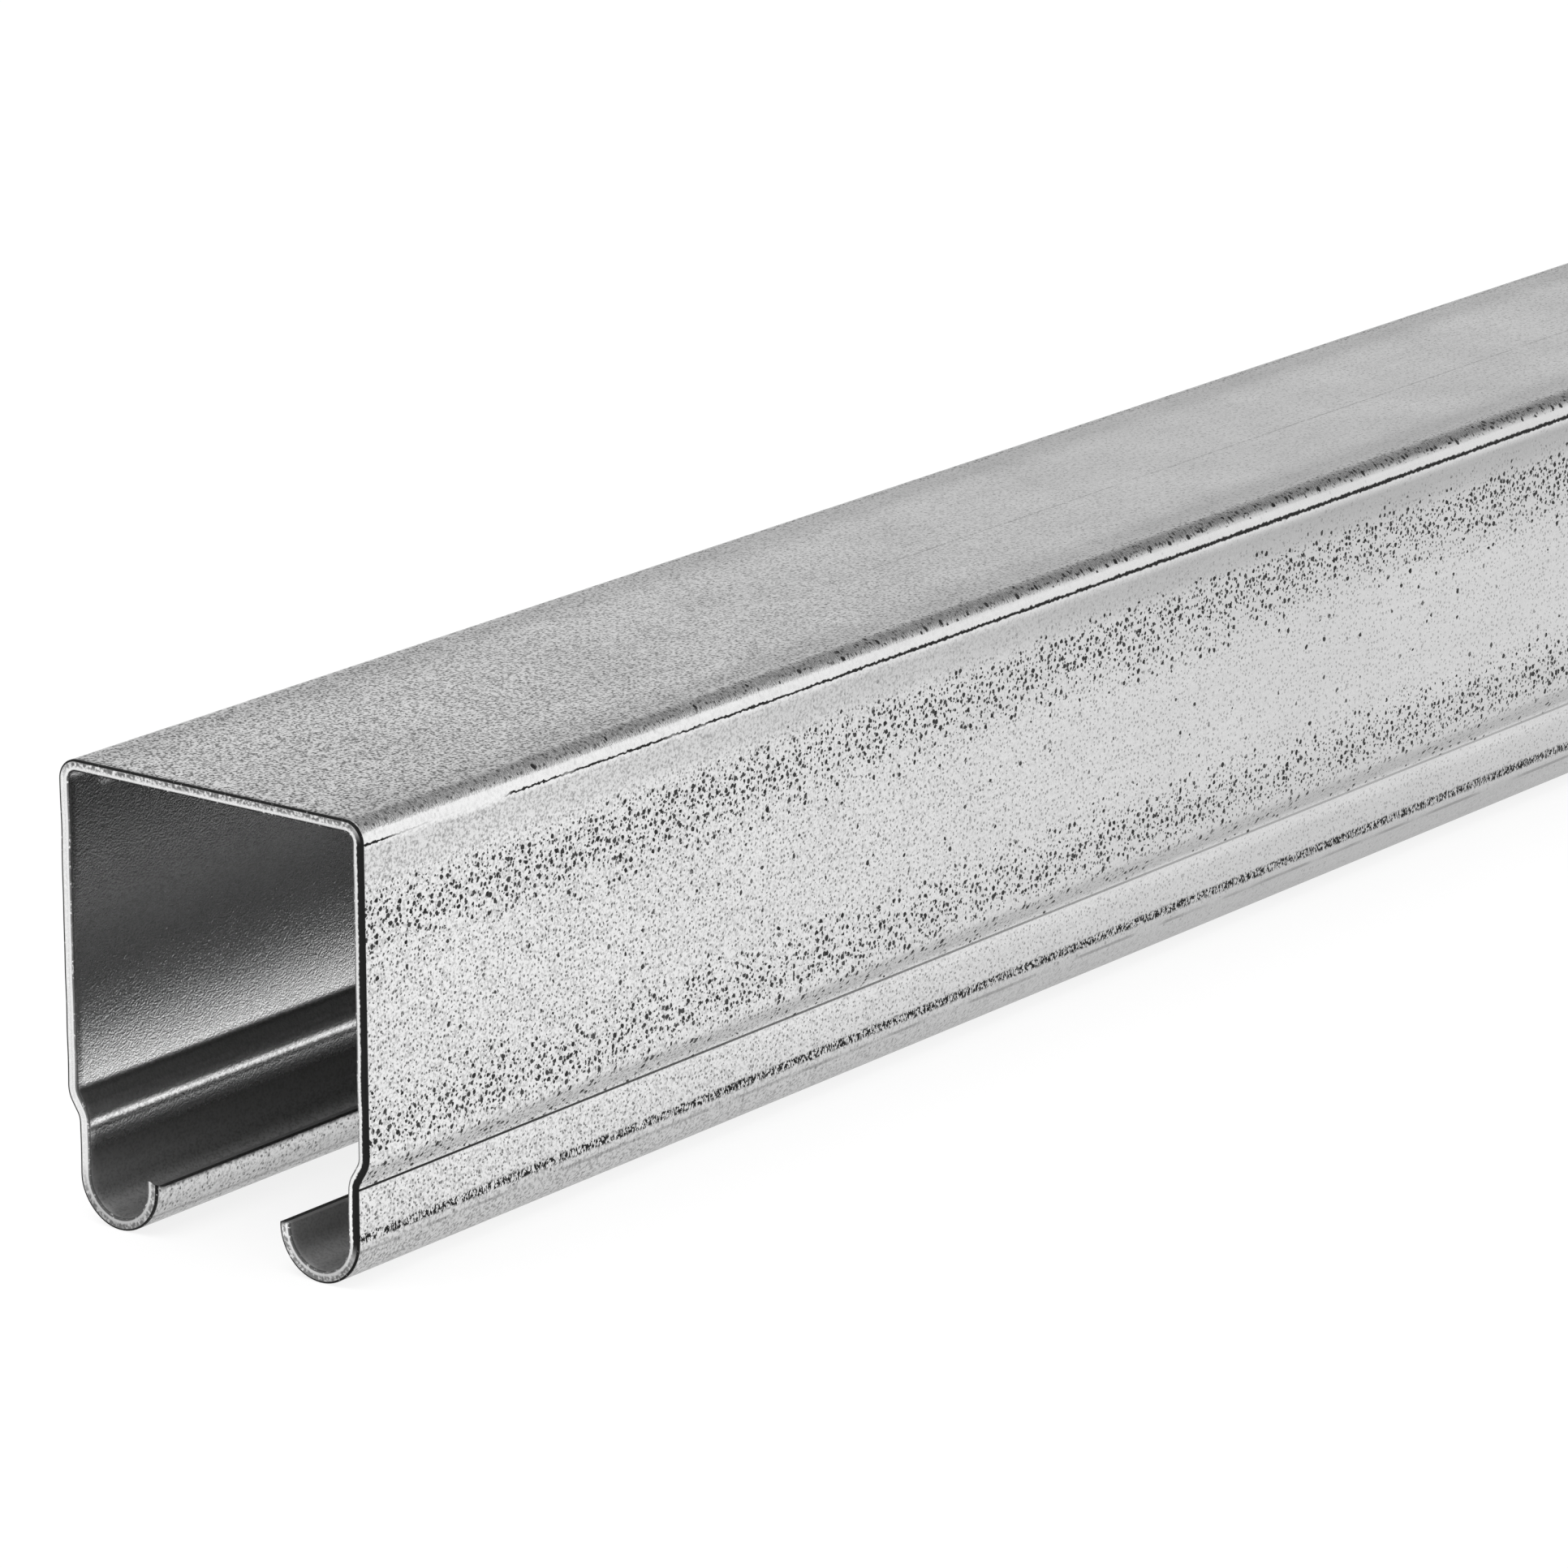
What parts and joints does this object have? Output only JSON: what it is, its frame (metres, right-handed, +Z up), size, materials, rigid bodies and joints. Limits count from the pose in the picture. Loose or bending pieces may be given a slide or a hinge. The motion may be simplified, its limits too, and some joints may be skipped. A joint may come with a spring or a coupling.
{
  "type": "sliding gate track",
  "caption": "Galvanised roll-formed steel box track, open along its underside, with stepped-in sides and inward curled lips that carry a trolley's wheels.",
  "frame": {"origin": "middle of the length, midway between the side walls, level with the undersides of the curls", "axes": "+X along the track, +Y across it, +Z up through the closed top; the slot opens towards -Z"},
  "size_m": [2, 0.048, 0.059],
  "materials": {
    "galvanised_steel": "zinc coated strip with a fine mottled grain, satin sheen"
  },
  "bodies": {
    "root": {"track": "galvanised_steel"}
  },
  "joints": []
}
